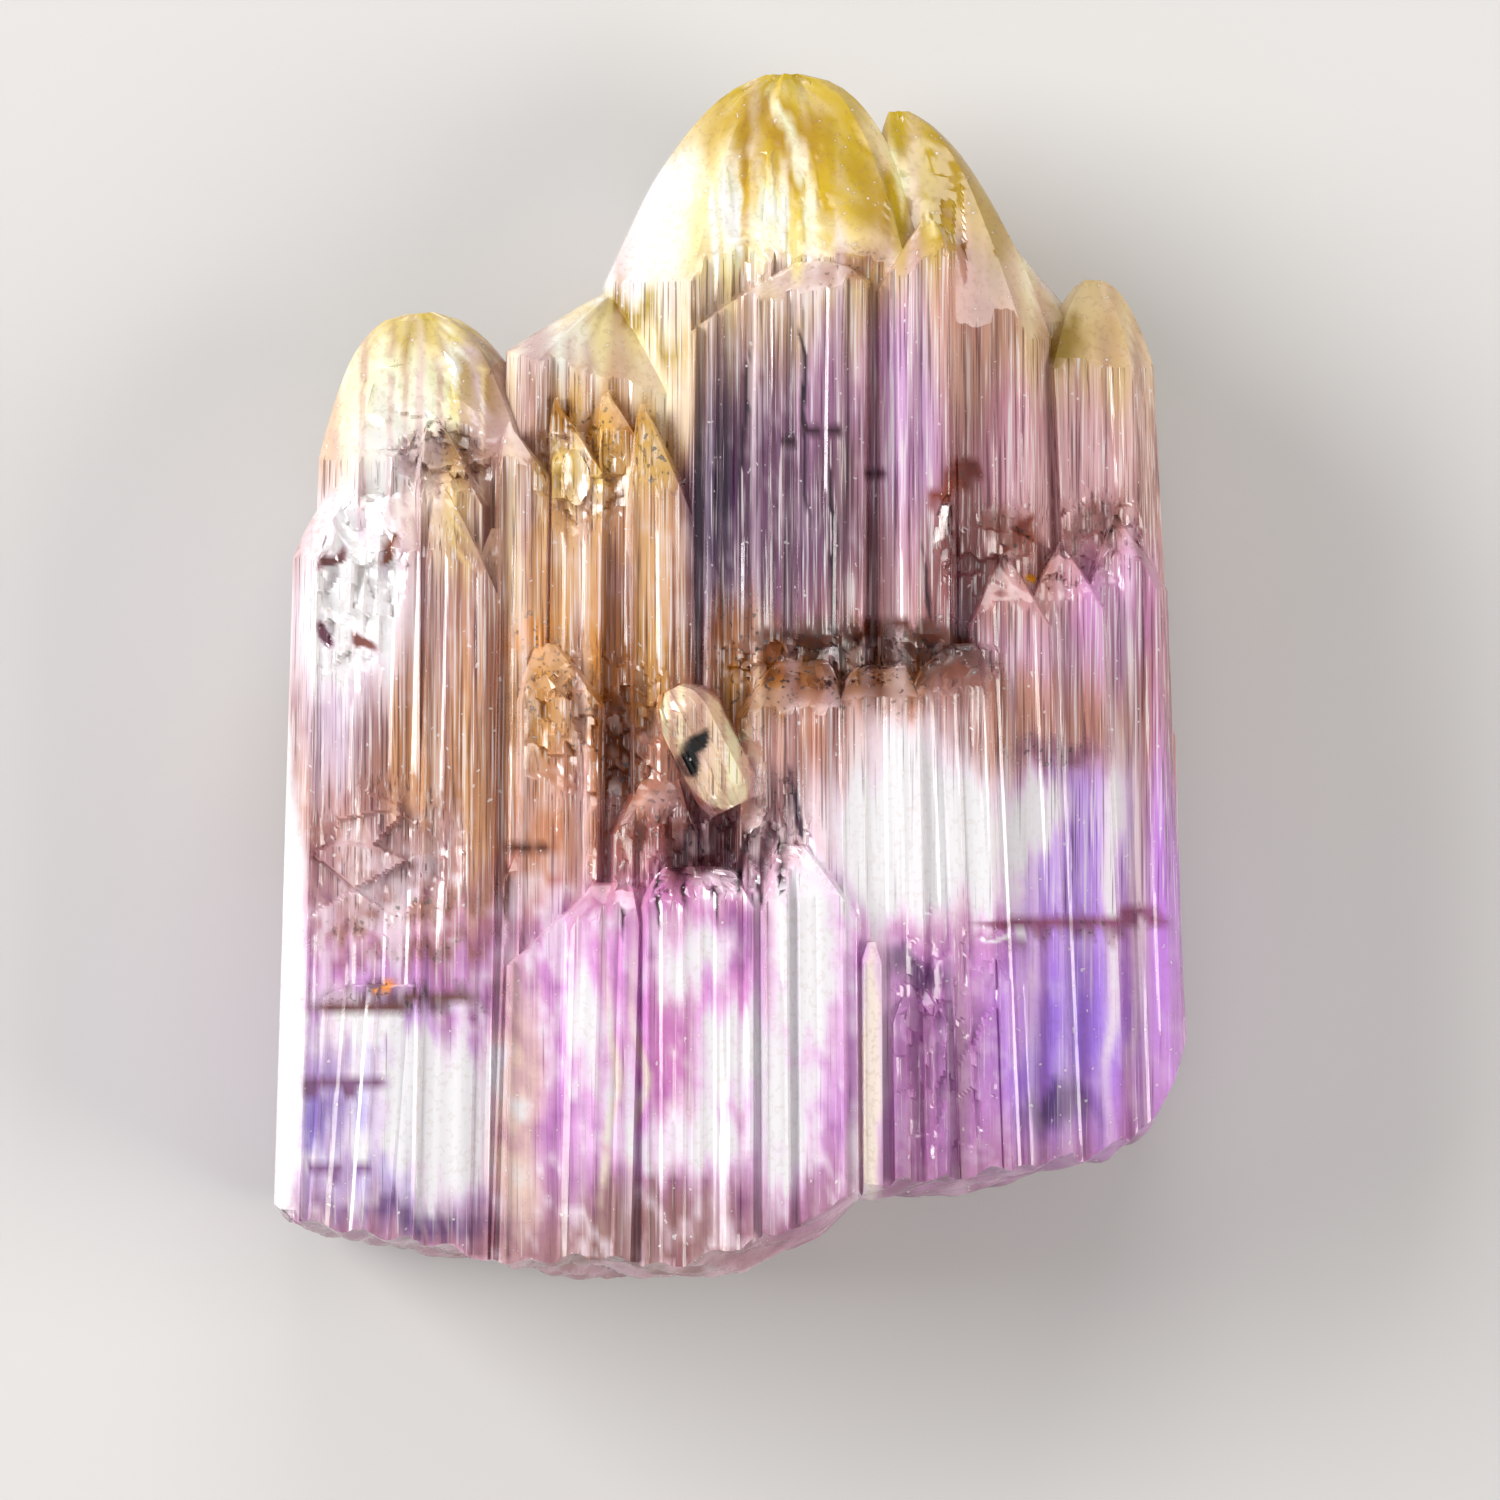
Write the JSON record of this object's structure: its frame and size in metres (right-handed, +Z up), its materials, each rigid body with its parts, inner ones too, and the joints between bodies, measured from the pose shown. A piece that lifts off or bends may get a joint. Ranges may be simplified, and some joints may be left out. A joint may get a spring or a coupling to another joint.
{
  "type": "tanzanite crystal",
  "caption": "Flattened natural bundle of intergrown striated gem crystals with rounded tips and a broken base, lying on its back.",
  "frame": {"origin": "under the middle of the crystal's bounding box, on the plane of its resting faces", "axes": "+Y along the crystals towards their rounded tips, +X across the bundle to the right as seen from the front face, +Z up out of the front face"},
  "size_m": [0.0182, 0.024, 0.0081],
  "materials": {
    "tanzanite": "clear to milky natural crystal: cream and olive-yellow tips, pink-brown middle, lilac to violet-blue foot, brown stains in the steps, glossy striated faces"
  },
  "bodies": {
    "root": {"tanzanite_crystal": "tanzanite"}
  },
  "joints": []
}
